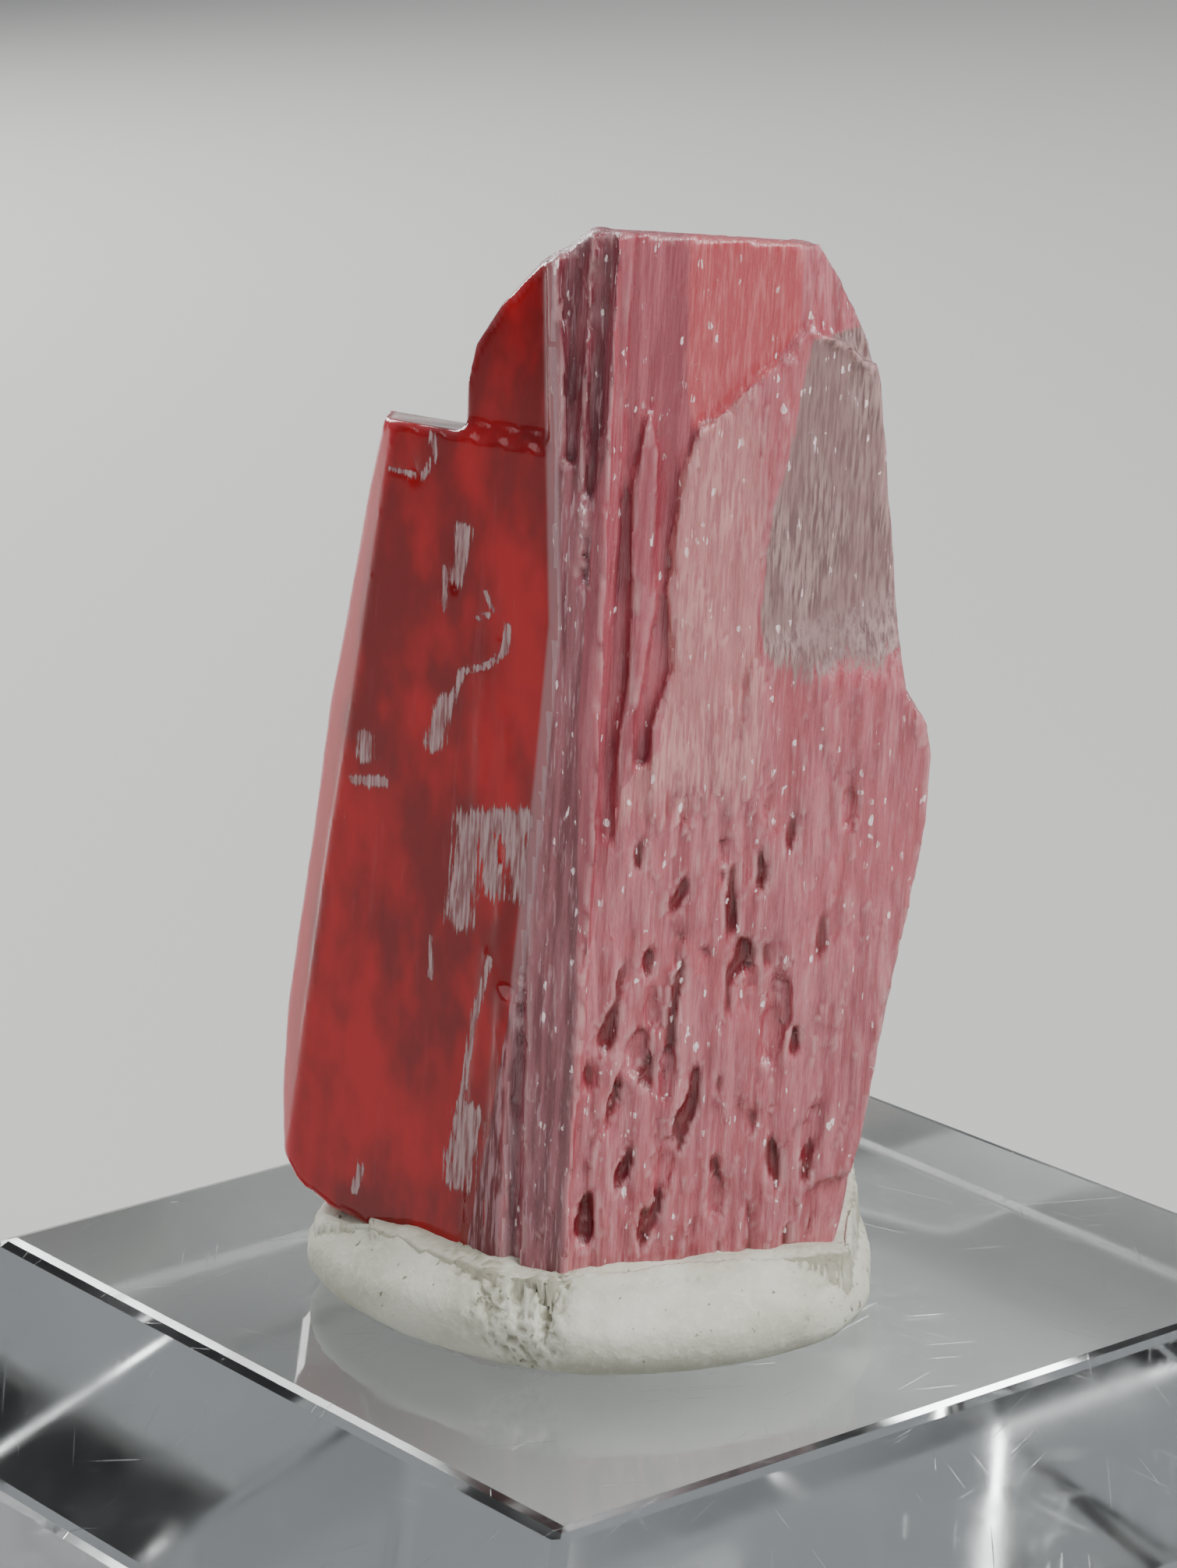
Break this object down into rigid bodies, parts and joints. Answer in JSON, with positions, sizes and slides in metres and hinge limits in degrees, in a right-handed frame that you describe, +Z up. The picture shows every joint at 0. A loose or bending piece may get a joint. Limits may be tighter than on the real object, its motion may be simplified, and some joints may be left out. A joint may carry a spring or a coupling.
{
  "type": "mineral specimen on a display block",
  "caption": "Rhodonite crystal, a pink splintery main crystal grown with a glassy dark red plate, pressed into putty on a clear bevelled acrylic block.",
  "frame": {"origin": "centre of the block's underside, on the surface that it stands on", "axes": "+Z up; X and Y along the block's sides; the specimen faces the corner between -X and -Y"},
  "size_m": [0.0318, 0.0318, 0.0397],
  "materials": {
    "rhodonite": "vitreous, glassy on the plate and splintery on the main crystal",
    "putty": "matt",
    "clear_acrylic": "clear, polished, lightly scratched"
  },
  "bodies": {
    "root": {"rhodonite_crystal": "rhodonite", "mounting_putty": "putty", "acrylic_base": "clear_acrylic"}
  },
  "joints": []
}
